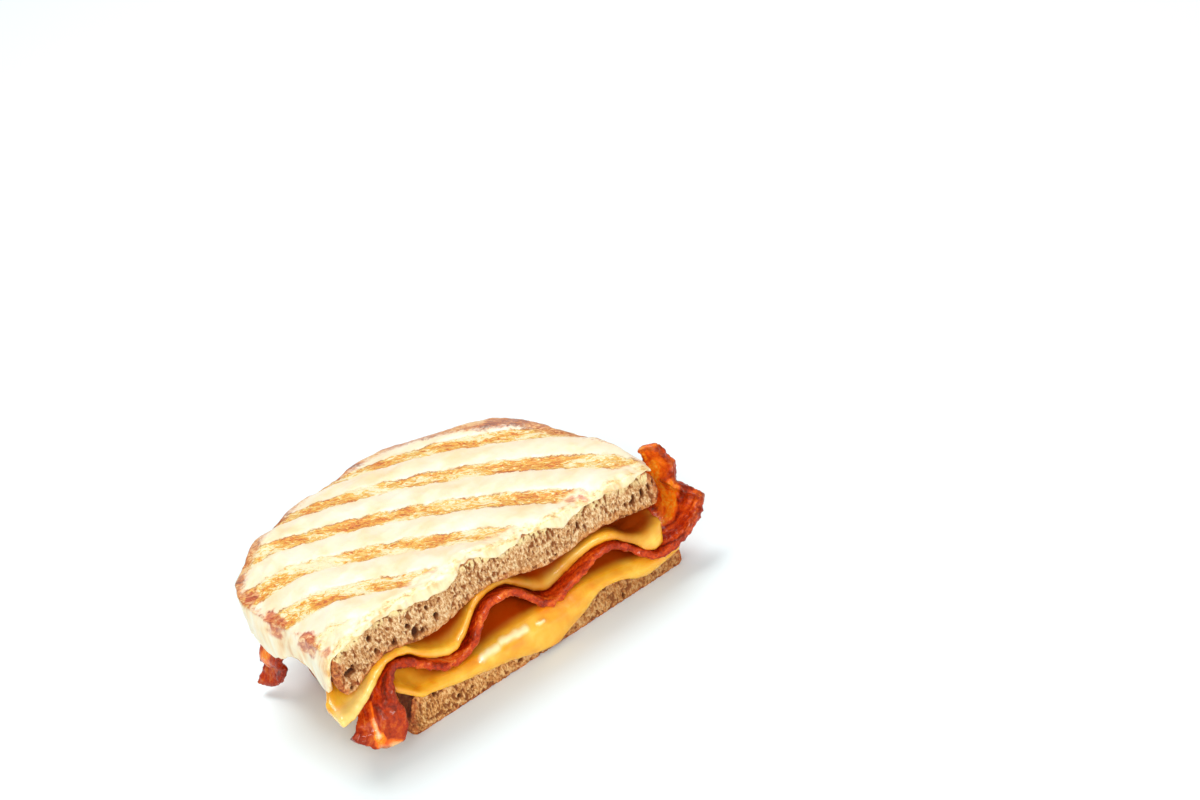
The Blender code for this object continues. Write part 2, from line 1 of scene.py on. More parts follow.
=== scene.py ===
# %% [markdown]
# # Half of a bacon grilled cheese sandwich
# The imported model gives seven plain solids: two slices of bread, white cheese melted over the
# upper one, two layers of cheddar and two strips of bacon. This script gives each of them its
# real surface. Every piece starts as a merged copy of its solid, so that it stays where the solid
# is, and is then made of finer faces and shaped with relief.

# %% The frame
import math

import bpy
import numpy as np
from mathutils import Matrix, Vector, kdtree, noise


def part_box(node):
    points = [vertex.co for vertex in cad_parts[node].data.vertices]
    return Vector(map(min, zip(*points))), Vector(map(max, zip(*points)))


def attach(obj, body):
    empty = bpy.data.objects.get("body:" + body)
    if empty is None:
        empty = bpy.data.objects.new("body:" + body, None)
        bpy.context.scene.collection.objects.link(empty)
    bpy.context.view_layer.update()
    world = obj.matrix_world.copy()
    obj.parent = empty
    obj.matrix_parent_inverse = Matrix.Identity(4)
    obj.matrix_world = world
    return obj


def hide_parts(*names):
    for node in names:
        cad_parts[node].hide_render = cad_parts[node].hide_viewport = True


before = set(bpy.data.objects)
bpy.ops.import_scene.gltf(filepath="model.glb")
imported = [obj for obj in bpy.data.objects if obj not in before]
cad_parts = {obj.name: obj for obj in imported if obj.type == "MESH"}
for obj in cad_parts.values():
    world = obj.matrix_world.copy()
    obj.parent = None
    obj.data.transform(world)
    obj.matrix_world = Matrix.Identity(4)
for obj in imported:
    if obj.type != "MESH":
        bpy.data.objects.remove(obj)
bpy.ops.object.select_all(action="DESELECT")
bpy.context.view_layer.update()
MM = 0.001
print("the solids:", sorted(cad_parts))

# %% [markdown]
# ## The plan's own coordinates
# Marks and spots are placed in millimetres from the middle of the cut: x along the cut, y back
# from it, z up from the table. The frame's origin is the middle of the underside, so one shift
# leads from one to the other. The cut plane is read from the upper slice.

# %% Where the cut lies
CUT_MIDDLE_X = -1.74
CUT_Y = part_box("bread_top")[0].y / MM
CUT_ORIGIN = np.array([CUT_MIDDLE_X, CUT_Y, 0.0])
print("the cut lies at y", round(CUT_Y, 2), "mm")

# %% [markdown]
# ## Reading and writing a mesh
# Relief is easiest to work out for all corners at once, so these helpers hand a mesh's corners and
# normals over as rows of numbers in millimetres and write them back. A value for each corner, such
# as how toasted it is, is kept as an attribute that the material reads.


# %% Helpers for corners and values
def corners(piece):
    rows = np.empty(len(piece.data.vertices) * 3)
    piece.data.vertices.foreach_get("co", rows)
    return rows.reshape(-1, 3) / MM


def normals(piece):
    rows = np.empty(len(piece.data.vertices) * 3)
    piece.data.vertex_normals.foreach_get("vector", rows)
    return rows.reshape(-1, 3)


def move_corners(piece, rows):
    piece.data.vertices.foreach_set("co", (rows * MM).ravel())
    piece.data.update()


def keep_values(piece, **values):
    for name, numbers in values.items():
        layer = piece.data.attributes.new(name, "FLOAT", "POINT")
        layer.data.foreach_set("value", np.asarray(numbers, dtype=np.float32))


def ease(low, high, values):
    """0 at low, 1 at high, with a soft slope between; low may be the larger one."""
    t = np.clip((values - low) / (high - low), 0.0, 1.0)
    return t * t * (3.0 - 2.0 * t)


def lumps(rows, size, seed):
    """Soft noise from about -1 to 1, with lumps of about the given size in millimetres."""
    return np.array([noise.noise(row) for row in (rows / size + seed * 7.31).tolist()])


def cells(rows, size, seed):
    """Distance to the nearest cell centre as a share of the cells' size, and a value per cell."""
    found = [noise.voronoi(row) for row in (rows / size + seed * 5.17).tolist()]
    near = np.array([distances[0] for distances, centres in found])
    value = np.array([noise.cell(centres[0] * 9.7) for distances, centres in found])
    return near, value


def tree_of(points):
    """A tree that finds the nearest of the points."""
    tree = kdtree.KDTree(len(points))
    for index, point in enumerate(points):
        tree.insert(point, index)
    tree.balance()
    return tree


def distance_to(points, rows):
    """Distance from each row to the nearest of the points."""
    tree = tree_of(points)
    return np.array([tree.find(row)[2] for row in rows])


def away_from(rows, start, end):
    """Distance from a straight line between two points."""
    start, end = np.array(start), np.array(end)
    along = np.clip((rows - start) @ (end - start) / ((end - start) @ (end - start)), 0, 1)
    return np.linalg.norm(rows - start - along[:, None] * (end - start), axis=1)


print("helpers ready")

# %% [markdown]
# ## A finer copy of a solid
# A solid has a few hundred large faces. Its copy is merged into one closed skin, rebuilt from
# small cubes (a voxel remesh), which gives even little squares all over, and then smoothed so
# that neither the old facets nor the cubes show.


# %% Copy, remesh and smooth
MERGE_WITHIN = 0.00001


def apply(piece, modifier):
    bpy.context.view_layer.objects.active = piece
    bpy.ops.object.modifier_apply(modifier=modifier.name)


def edit(piece):
    bpy.ops.object.select_all(action="DESELECT")
    piece.select_set(True)
    bpy.context.view_layer.objects.active = piece
    bpy.ops.object.mode_set(mode="EDIT")


def merged_copy(node, name):
    piece = bpy.data.objects.new(name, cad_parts[node].data.copy())
    bpy.context.scene.collection.objects.link(piece)
    piece.data.name = name
    piece.data.materials.clear()
    edit(piece)
    bpy.ops.mesh.select_all(action="SELECT")
    bpy.ops.mesh.remove_doubles(threshold=MERGE_WITHIN)
    bpy.ops.object.mode_set(mode="OBJECT")
    return piece


def fine_copy(node, name, square, smoothing, thicker=0.0):
    """A copy of a node made of squares of the given size in millimetres, first swollen a little."""
    piece = merged_copy(node, name)
    if thicker:
        swell = piece.modifiers.new("swell", "DISPLACE")
        swell.mid_level = 0.0
        swell.strength = thicker * MM
        apply(piece, swell)
    skin = piece.modifiers.new("skin", "REMESH")
    skin.mode = "VOXEL"
    skin.voxel_size = square * MM
    skin.use_smooth_shade = True
    apply(piece, skin)
    soften = piece.modifiers.new("soften", "SMOOTH")
    soften.factor = 0.5
    soften.iterations = smoothing
    apply(piece, soften)
    print(name, len(piece.data.polygons), "faces")
    return piece


def stand_for(piece, node, finish):
    """Shows the piece in place of its node, with its finish, on the one body."""
    piece.data.materials.append(finish)
    piece.data.shade_smooth()
    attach(piece, "root")
    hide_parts(node)


# %% [markdown]
# ## Building finishes
# Each finish is a Principled shader whose colour, roughness and bump come from noise on object
# coordinates, in metres, and from the values kept on the corners. The helpers below keep the node
# trees short: a colour is written as the 0 to 255 values that it has on a screen.


# %% Helpers for node trees
def screen(red, green, blue):
    """A colour's linear value from its screen value."""
    parts = [part / 255 for part in (red, green, blue)]
    linear = [part / 12.92 if part <= 0.04045 else ((part + 0.055) / 1.055) ** 2.4 for part in parts]
    return (*linear, 1.0)


class Finish:
    def __init__(self, name, roughness, specular):
        self.material = bpy.data.materials.new(name)
        self.material.use_nodes = True
        self.tree = self.material.node_tree
        self.shader = self.tree.nodes["Principled BSDF"]
        self.shader.inputs["Roughness"].default_value = roughness
        self.shader.inputs["Specular IOR Level"].default_value = specular
        self.place = self.add("ShaderNodeTexCoord").outputs["Object"]

    def add(self, kind, settings=None, **inputs):
        made = self.tree.nodes.new(kind)
        for key, value in (settings or {}).items():
            setattr(made, key, value)
        for key, value in inputs.items():
            self.join(made.inputs[key.replace("_", " ")], value)
        return made

    def join(self, socket, value):
        if isinstance(value, bpy.types.NodeSocket):
            self.tree.links.new(value, socket)
        else:
            socket.default_value = value

    def values(self, *names):
        """The values kept on the corners under these names."""
        made = [self.add("ShaderNodeAttribute", {"attribute_name": name}) for name in names]
        return [node.outputs["Fac"] for node in made]

    def noise(self, size, detail=3.0, rough=0.5, distortion=0.0, place=None):
        """Noise from 0 to 1 with lumps of the given size in millimetres."""
        made = self.add("ShaderNodeTexNoise", Vector=place or self.place, Scale=1 / (size * MM),
                        Detail=detail, Roughness=rough, Distortion=distortion)
        return made.outputs["Fac"]

    def cracks(self, size):
        """Distance to the middle of cells of the given size in millimetres, 0 to about 1."""
        made = self.add("ShaderNodeTexVoronoi", Vector=self.place, Scale=1 / (size * MM))
        return made.outputs["Distance"]

    def drawn_up(self, share):
        """Coordinates for noise that is drawn out in height; the smaller the share, the longer."""
        made = self.add("ShaderNodeMapping", Vector=self.place, Scale=(1.0, 1.0, share))
        return made.outputs["Vector"]

    def drawn_out(self, turn, length):
        """Coordinates for noise that is drawn out along the way turned this far from x."""
        made = self.add("ShaderNodeMapping", {"vector_type": "TEXTURE"}, Vector=self.place,
                        Rotation=(0, 0, turn), Scale=(length, 1, 1))
        return made.outputs["Vector"]

    def math(self, operation, first, second=0.0):
        made = self.add("ShaderNodeMath", {"operation": operation})
        self.join(made.inputs[0], first)
        self.join(made.inputs[1], second)
        return made.outputs[0]

    def times(self, first, second):
        return self.math("MULTIPLY", first, second)

    def plus(self, first, second):
        return self.math("ADD", first, second)

    def less(self, first, second):
        return self.math("SUBTRACT", first, second)

    def stray(self, value, reach):
        """A value from 0 to 1 made to swing about zero, over the given reach from end to end."""
        return self.times(self.less(value, 0.5), reach)

    def slope(self, value, low, high):
        """0 at low and 1 at high; low may be the larger one."""
        made = self.add("ShaderNodeMapRange", {"interpolation_type": "SMOOTHSTEP"},
                        Value=value, From_Min=low, From_Max=high)
        return made.outputs["Result"]

    def fall(self, value, high, low):
        """1 below high and 0 above low."""
        return self.less(1.0, self.slope(value, high, low))

    def ramp(self, value, *stops):
        made = self.add("ShaderNodeValToRGB", Fac=value)
        line = made.color_ramp.elements
        while len(line) < len(stops):
            line.new(0.5)
        for element, (at, colour) in zip(line, stops):
            element.position = at
            element.color = colour
        return made.outputs["Color"]

    def blend(self, share, under, over):
        made = self.add("ShaderNodeMix", {"data_type": "RGBA"})
        self.join(made.inputs[0], share)
        self.join(made.inputs[6], under)
        self.join(made.inputs[7], over)
        return made.outputs[2]

    def soft(self, weight, depth, radius):
        """Light that sinks in, to a depth in millimetres, further in red than in blue."""
        self.join(self.shader.inputs["Subsurface Weight"], weight)
        self.shader.inputs["Subsurface Scale"].default_value = depth * MM
        self.shader.inputs["Subsurface Radius"].default_value = radius

    def coat(self, weight, roughness):
        self.join(self.shader.inputs["Coat Weight"], weight)
        self.shader.inputs["Coat Roughness"].default_value = roughness

    def bump(self, height, depth, under=None):
        """Bump of a height from 0 to 1, as deep as the given millimetres."""
        made = self.add("ShaderNodeBump", Height=height, Distance=depth * MM)
        if under is not None:
            self.tree.links.new(under, made.inputs["Normal"])
        return made.outputs["Normal"]

    def done(self, colour, normal, roughness=None):
        self.join(self.shader.inputs["Base Color"], colour)
        self.join(self.shader.inputs["Normal"], normal)
        if roughness is not None:
            self.join(self.shader.inputs["Roughness"], roughness)
        print("finish", self.material.name, len(self.tree.nodes), "nodes")
        return self.material


# %% [markdown]
# ## Camera, table and light
# The sandwich lies flat here, while the real half leans, so the camera is rolled by the same
# angle to see it as the photograph does. The table is a plain pale sheet. One large soft lamp
# above and behind gives the shine on the cheese, and two weaker ones in front light the cut.


# %% Camera
def direction(azimuth, elevation):
    """The way from the sandwich to a camera or a lamp; azimuth 0 is straight before the cut."""
    turn, rise = math.radians(azimuth), math.radians(elevation)
    return Vector((math.sin(turn) * math.cos(rise), -math.cos(turn) * math.cos(rise), math.sin(rise)))


CAMERA_AZIMUTH, CAMERA_ELEVATION, CAMERA_ROLL = -21.62, 29.55, -21.08
CAMERA_DISTANCE = 0.960
CAMERA_AIM = Vector((0.0405, -0.0589, 0.0747))
CAMERA_LENS, CAMERA_SENSOR = 100, 36

towards_camera = direction(CAMERA_AZIMUTH, CAMERA_ELEVATION)
bpy.ops.object.camera_add()
camera = bpy.context.object
camera.data.lens = CAMERA_LENS
camera.data.sensor_width = CAMERA_SENSOR
turned = towards_camera.to_track_quat("Z", "Y").to_matrix().to_4x4()
turned = turned @ Matrix.Rotation(math.radians(CAMERA_ROLL), 4, "Z")
camera.matrix_world = Matrix.Translation(CAMERA_AIM + towards_camera * CAMERA_DISTANCE) @ turned
bpy.context.scene.camera = camera
print("camera at", [round(part, 3) for part in camera.matrix_world.translation])

# %% Table
TABLE_SIZE = 8
TABLE_COLOUR = screen(240, 251, 254)

bpy.ops.mesh.primitive_plane_add(size=TABLE_SIZE, location=(0, 0, 0))
table = bpy.context.object
table.name = "table"
table_finish = Finish("pale_table", 0.7, 0.2)
table_grain = table_finish.bump(table_finish.noise(3.0), 0.01)
table.data.materials.append(table_finish.done(TABLE_COLOUR, table_grain))

# %% Light
# Each lamp's azimuth, elevation, distance, size and power.
LAMPS = {"lamp_above": (165, 66, 1.2, 0.7, 9.5),
         "lamp_front": (-42, 38, 1.3, 0.7, 4.2),
         "lamp_cut": (-12, 27, 1.2, 0.3, 5.6)}
ROOM_COLOUR, ROOM_STRENGTH = (0.98, 1.0, 0.98, 1.0), 0.42

for name, (azimuth, elevation, distance, size, power) in LAMPS.items():
    towards_lamp = direction(azimuth, elevation)
    bpy.ops.object.light_add(type="AREA", location=towards_lamp * distance)
    lamp = bpy.context.object
    lamp.name = name
    lamp.rotation_euler = towards_lamp.to_track_quat("Z", "Y").to_euler()
    lamp.data.size = size
    lamp.data.energy = power
world = bpy.data.worlds.new("pale_room")
world.use_nodes = True
room = world.node_tree.nodes["Background"].inputs
room["Color"].default_value = ROOM_COLOUR
room["Strength"].default_value = ROOM_STRENGTH
bpy.context.scene.world = world
bpy.context.scene.view_settings.view_transform = "Standard"
print("three lamps and a pale room")

# %% [markdown]
# ## Bread
# The cut shows the crumb: pale strands round pits of one to two millimetres, a few larger holes,
# and a browned crust at the ends and underneath. The pits are real relief, so the cut face alone is
# divided into quarter-millimetre faces. The rest of a slice is crust, whose faces can stay larger.
# The pits, the holes and a dent in the lower slice's left end are also painted dark as shade, and
# the lower slice's crumb is painted darker towards its right end as shade.


# %% Cut face and pits
SLICE_SQUARE = 0.9
CUT_DIVISIONS = 3
# How far behind the cut's plane a face, and a corner, still belongs to the cut.
CUT_FACES_WITHIN, CUT_CORNERS_WITHIN = 1.6, 1.8
# The pits are taller than they are wide.
PIT_GRAIN = (1.0, 0.0, 0.58)
PIT_DEPTH, HOLE_DEPTH = 0.6, 2.2
# The larger holes by their middle and half sizes.
UPPER_HOLES = [((-54.3, 31.7), (1.9, 1.3)), ((-45.0, 37.8), (0.9, 1.1)), ((-44.4, 33.0), (0.7, 1.0)),
               ((-38.3, 31.3), (0.8, 1.2)), ((-31.3, 31.0), (1.4, 1.9)), ((-29.0, 30.2), (0.7, 0.9)),
               ((47.5, 29.6), (0.6, 1.3)), ((50.5, 29.4), (0.8, 1.7)), ((53.2, 30.0), (0.5, 1.4))]
LOWER_HOLES = [((-22.0, 4.0), (0.8, 0.6)), ((-5.0, 2.6), (1.1, 0.7)), ((28.0, 7.6), (0.7, 0.6))]
# The dent in the lower slice's left end, painted dark as shade, by its middle and its half sizes.
DENT_MIDDLE, DENT_HALF = (-43.0, 6.0, 10.0), (5.0, 9.0, 6.0)
# How far from the cheddar the crumb is greasy, and how far below the white cheese it is soaked.
GREASE_REACH, MILKY_REACH = 3.2, 3.4
# Crust lies level where its normal's height is past this, and is toasted less there.
LEVEL, LEVEL_TOAST = 0.7, 0.62
UPPER_CRUST_WIDTH = 0.5


def refine_cut(piece):
    edit(piece)
    bpy.ops.mesh.select_mode(type="FACE")
    bpy.ops.mesh.select_all(action="DESELECT")
    bpy.ops.object.mode_set(mode="OBJECT")
    limit = (CUT_Y + CUT_FACES_WITHIN) * MM
    for face in piece.data.polygons:
        face.select = face.center.y < limit and face.normal.y < -0.4
    bpy.ops.object.mode_set(mode="EDIT")
    bpy.ops.mesh.subdivide(number_cuts=CUT_DIVISIONS)
    bpy.ops.object.mode_set(mode="OBJECT")


def crumb_pits(rows, seed, named_holes):
    """How deep the crumb is at each point of the cut, 0 to 1 for the pits and for the holes."""
    flat = rows * PIT_GRAIN
    sideways, upward = lumps(flat, 3.0, seed + 1), lumps(flat, 3.0, seed + 2)
    warp = np.stack([sideways, np.zeros(len(rows)), upward], axis=1)
    strands = 0.65 * lumps(flat + 0.6 * warp, 1.0, seed) + 0.4 * lumps(flat, 0.5, seed + 4)
    pits = ease(0.0, -0.40, strands + 0.22 * lumps(flat, 6.0, seed + 6))
    far, rare = cells(flat + 0.9 * warp, 3.0, seed + 3)
    holes = ease(0.26, 0.12, far) * (np.abs(rare) > 0.62)
    plan = rows - CUT_ORIGIN
    for (x, z), (half_width, half_height) in named_holes:
        away = np.hypot((plan[:, 0] - x) / half_width, (plan[:, 2] - z) / half_height)
        holes = np.maximum(holes, ease(1.15, 0.6, away + 0.25 * lumps(flat, 1.2, seed + 10)))
    return pits, holes


def shape_slice(piece, seed, named_holes, crust_width, under_width, greased_way, milky_way):
    """Relief and values; grease and white cheese lie on the side 1 above, -1 below or 0 nowhere."""
    refine_cut(piece)
    rows, ways = corners(piece), normals(piece)
    on_cut = (ways[:, 1] < -0.5) & (rows[:, 1] < CUT_Y + CUT_CORNERS_WITHIN)
    skin = np.flatnonzero(~on_cut)
    tree = tree_of(rows[skin])
    toast = np.where(np.abs(ways[:, 2]) > LEVEL, LEVEL_TOAST, 1.0)
    pits, holes = np.zeros(len(rows)), np.zeros(len(rows))
    cut = np.flatnonzero(on_cut)
    pits[cut], holes[cut] = crumb_pits(rows[cut], seed, named_holes)
    wander = lumps(rows[cut], 3.0, seed + 9)
    inside, grease, milky = np.zeros(len(rows)), np.zeros(len(rows)), np.zeros(len(rows))
    for index, stray in zip(cut, wander):
        place, number, distance = tree.find(rows[index])
        height = ways[skin[number]][2]
        inside[index] = distance
        if height * greased_way > LEVEL:
            grease[index] = ease(GREASE_REACH, 0.3, distance - stray)
        if height * milky_way > LEVEL:
            milky[index] = ease(MILKY_REACH, 0.2, distance - 2.6 * stray)
        level_width = under_width if height < 0 else UPPER_CRUST_WIDTH
        width = crust_width if abs(height) < LEVEL else level_width
        toast[index] = ease(width, width * 0.25, distance + stray * width * 0.35)
    holes *= ease(0.5, 1.6, inside)
    deep = np.maximum(pits * PIT_DEPTH * (1 - 0.6 * toast), holes * HOLE_DEPTH)
    deep += 0.14 * lumps(rows, 0.6, seed + 5) * on_cut
    crust = (1.0 - on_cut) * (0.18 * lumps(rows, 5.0, seed + 6) + 0.12 * lumps(rows, 1.8, seed + 7))
    rim = ease(2.6, 0.4, rows[:, 1] - CUT_Y) * (1.0 - on_cut) + on_cut * ease(1.6, 0.0, inside)
    rows += ways * crust[:, None]
    rows[:, 1] += deep
    rows[:, 2] += rim * (0.45 * lumps(rows * (1, 0, 1), 2.4, seed + 8))
    rows[:, 2] = np.maximum(rows[:, 2], 0.0)
    move_corners(piece, rows)
    # Painted shade: dark in the cut's pits and holes, and in the dent at the lower slice's left end.
    from_dent = np.linalg.norm((rows - CUT_ORIGIN - DENT_MIDDLE) / DENT_HALF, axis=1)
    pit = np.where(on_cut, np.maximum(pits * 0.6, holes), ease(1.1, 0.7, from_dent))
    keep_values(piece, toast=toast, grease=grease, milky=milky, pit=pit)


upper = fine_copy("bread_top", "upper_slice", SLICE_SQUARE, 2)
lower = fine_copy("bread_bottom", "lower_slice", SLICE_SQUARE, 2)
shape_slice(upper, 1.0, UPPER_HOLES, crust_width=4.5, under_width=1.0, greased_way=-1, milky_way=1)
shape_slice(lower, 2.0, LOWER_HOLES, crust_width=3.2, under_width=1.8, greased_way=1, milky_way=0)
print("slices have", len(upper.data.polygons), "and", len(lower.data.polygons), "faces")


# %% Bread finish
def bread_finish(name, light, strand, shade, browner):
    """Crumb and crust; the crumb is painted darker towards its right end, as shade, by the given share."""
    finish = Finish(name, 0.82, 0.25)
    pit, toast, grease, milky = finish.values("pit", "toast", "grease", "milky")
    fine = finish.noise(0.6, 4.0, 0.6, 0.3, finish.drawn_up(0.55))
    patch = finish.noise(7.0, 2.0)
    grain = finish.plus(finish.times(fine, 0.8), finish.times(patch, 0.2))
    pale = finish.ramp(grain, (0.36, shade), (0.48, strand), (0.62, light))
    # Painted shade: the crumb darkens towards its right end.
    x = finish.add("ShaderNodeSeparateXYZ", Vector=finish.place).outputs["X"]
    rightward = finish.slope(x, -20 * MM, 50 * MM)
    pale = finish.blend(finish.times(rightward, browner), pale, shade)
    pale = finish.blend(finish.times(grease, 0.45), pale, screen(222, 134, 48))
    pale = finish.blend(finish.times(milky, 0.8), pale, screen(246, 226, 164))
    # The pits and holes are painted darker as shade.
    open_crumb = finish.blend(finish.slope(pit, 0.05, 0.6), pale, screen(140, 80, 38))
    crumb = finish.blend(finish.slope(pit, 0.6, 1.0), open_crumb, screen(80, 40, 20))
    mottle = finish.noise(1.8, 6.0, 0.66, 0.5)
    crust = finish.ramp(mottle, (0.32, screen(104, 34, 18)), (0.45, screen(162, 72, 32)),
                        (0.56, screen(206, 122, 60)), (0.70, screen(236, 188, 130)))
    # Painted shade on the crust in the dent and in pits near the crust.
    crust = finish.blend(finish.times(pit, 0.75), crust, screen(64, 22, 12))
    colour = finish.blend(finish.times(toast, 0.92), crumb, crust)
    bumps = finish.bump(finish.noise(0.4, 3.0, 0.6), 0.18)
    bumps = finish.bump(finish.cracks(0.9), 0.16, bumps)
    finish.soft(0.12, 0.8, (1.0, 0.6, 0.35))
    return finish.done(colour, bumps)


upper_bread = bread_finish("upper_bread", light=screen(242, 212, 166), strand=screen(202, 148, 94),
                           shade=screen(150, 92, 48), browner=0.0)
lower_bread = bread_finish("lower_bread", light=screen(238, 194, 132), strand=screen(200, 135, 70),
                           shade=screen(136, 74, 33), browner=0.4)
stand_for(upper, "bread_top", upper_bread)
stand_for(lower, "bread_bottom", lower_bread)

# %% [markdown]
# ## White cheese
# It melted over the upper slice and was pressed in a ribbed grill. The ribs left golden, lacy
# marks with smooth pale bands between them, and it ran down the crust in thick drips. Where a mark
# runs is worked out from the same numbers as the solid's grooves, and kept as a value.

# %% Marks, drips and scorches
CHEESE_SQUARE = 0.58
CHEESE_SWELL = 0.06
MARK_UNIT = 50.0
MARK_NUMBERS = (3.38, -1.91, -1.67, -0.20, 0.30, -0.27)
# From a mark's middle, in mark numbers: where its relief starts and is full, where its colour
# ends, and where the dark line along its edge lies.
MARK_RELIEF = (0.27, 0.15)
MARK_COLOUR = (0.165, 0.225)
MARK_LINE = 0.185
# How far from the cut a mark's colour starts and is full.
MARK_START = (2.5, 8.0)
# Scorched spots by their middle, half sizes and strength.
SCORCHES = [((-59.0, 51.5), (2.6, 4.6), 1.0), ((-60.2, 33.6), (3.0, 5.6), 1.0),
            ((-58.8, 14.2), (2.8, 6.0), 1.0), ((30.0, 4.0), (2.0, 2.0), 0.55),
            ((33.0, 1.5), (1.4, 2.6), 0.55), ((-57.4, 3.0), (2.0, 3.2), 0.55)]
# How far the cheese stops short of the cut, as (x, distance).
SET_BACK = [(-60, 0.2), (-52, 0.6), (-47, 0.0), (-38, 0.1), (-35.5, 1.0), (-32, 0.0), (-14, 0.0),
            (-12, 0.7), (-8, 2.3), (-4, 1.2), (-1, 0.0), (7, 0.0), (10.5, 1.6), (16, 0.8), (20, 0.0),
            (29, 0.0), (33, 0.7), (39, 0.5), (45, 0.0), (50, 0.8), (55, 2.0)]
SET_BACK_REACH = 7.0


def mark_number(x, y):
    """Whole along the middle of each grill mark, a half in the middle of each pale band."""
    x, y = x / MARK_UNIT, y / MARK_UNIT
    terms = np.stack([np.ones_like(x), x, y, x * x, x * y, y * y])
    return np.tensordot(MARK_NUMBERS, terms, axes=1)


def shape_white_cheese(piece):
    rows, ways = corners(piece), normals(piece)
    plan = rows - CUT_ORIGIN
    number = mark_number(plan[:, 0], plan[:, 1])
    mark = ease(*MARK_RELIEF, np.abs(number - np.round(number)))
    top = ease(0.45, 0.8, ways[:, 2])
    front = ease(3.0, 0.5, plan[:, 1])
    scorch = np.zeros(len(rows))
    ragged = 0.55 * lumps(rows, 2.4, 31) + 0.3 * lumps(rows, 0.9, 32)
    for (x, y), (half_x, half_y), most in SCORCHES:
        away = np.hypot((plan[:, 0] - x) / half_x, (plan[:, 1] - y) / half_y)
        spot = most * ease(1.4, 0.4, away + ragged) * ease(0.05, 0.5, ways[:, 2])
        scorch = np.maximum(scorch, spot)
    inside = distance_to(rows[(np.abs(ways[:, 2]) < 0.35) & (plan[:, 1] > 3)], rows)
    lift = CHEESE_SWELL + 0.22 * lumps(rows, 9.0, 41) * top
    lift += mark * top * (0.36 * lumps(rows * (0.8, 1.0, 1.0), 1.7, 42) - 0.16)
    lift += (1 - mark) * top * 0.10 * lumps(rows, 3.2, 43)
    lift += (1 - top) * 0.55 * lumps(rows * (1.0, 1.0, 0.35), 4.4, 44)
    lift += ease(7.0, 0.5, inside) * top * 0.35 * lumps(rows, 2.2, 45)
    rows += ways * lift[:, None]
    ragged = 0.7 * lumps(rows * (1.0, 0.0, 0.0), 2.4, 46) + 0.4 * lumps(rows * (1.0, 0.0, 0.3), 1.1, 48)
    stops, distances = zip(*SET_BACK)
    back = np.interp(plan[:, 0], stops, distances) + np.maximum(ragged, -0.3)
    rows[:, 1] += back * ease(SET_BACK_REACH, 0.0, plan[:, 1])
    rows[:, 2] += front * (0.5 * lumps(rows * (1.0, 0.4, 0.4), 2.6, 47) - 0.3 * top)
    move_corners(piece, rows)
    keep_values(piece, number=number, top=top, scorch=scorch, inside=inside,
                from_cut=plan[:, 1], along_cut=plan[:, 0])


white = fine_copy("grilled_cheese", "melted_white_cheese", CHEESE_SQUARE, 8, 0.2)
shape_white_cheese(white)


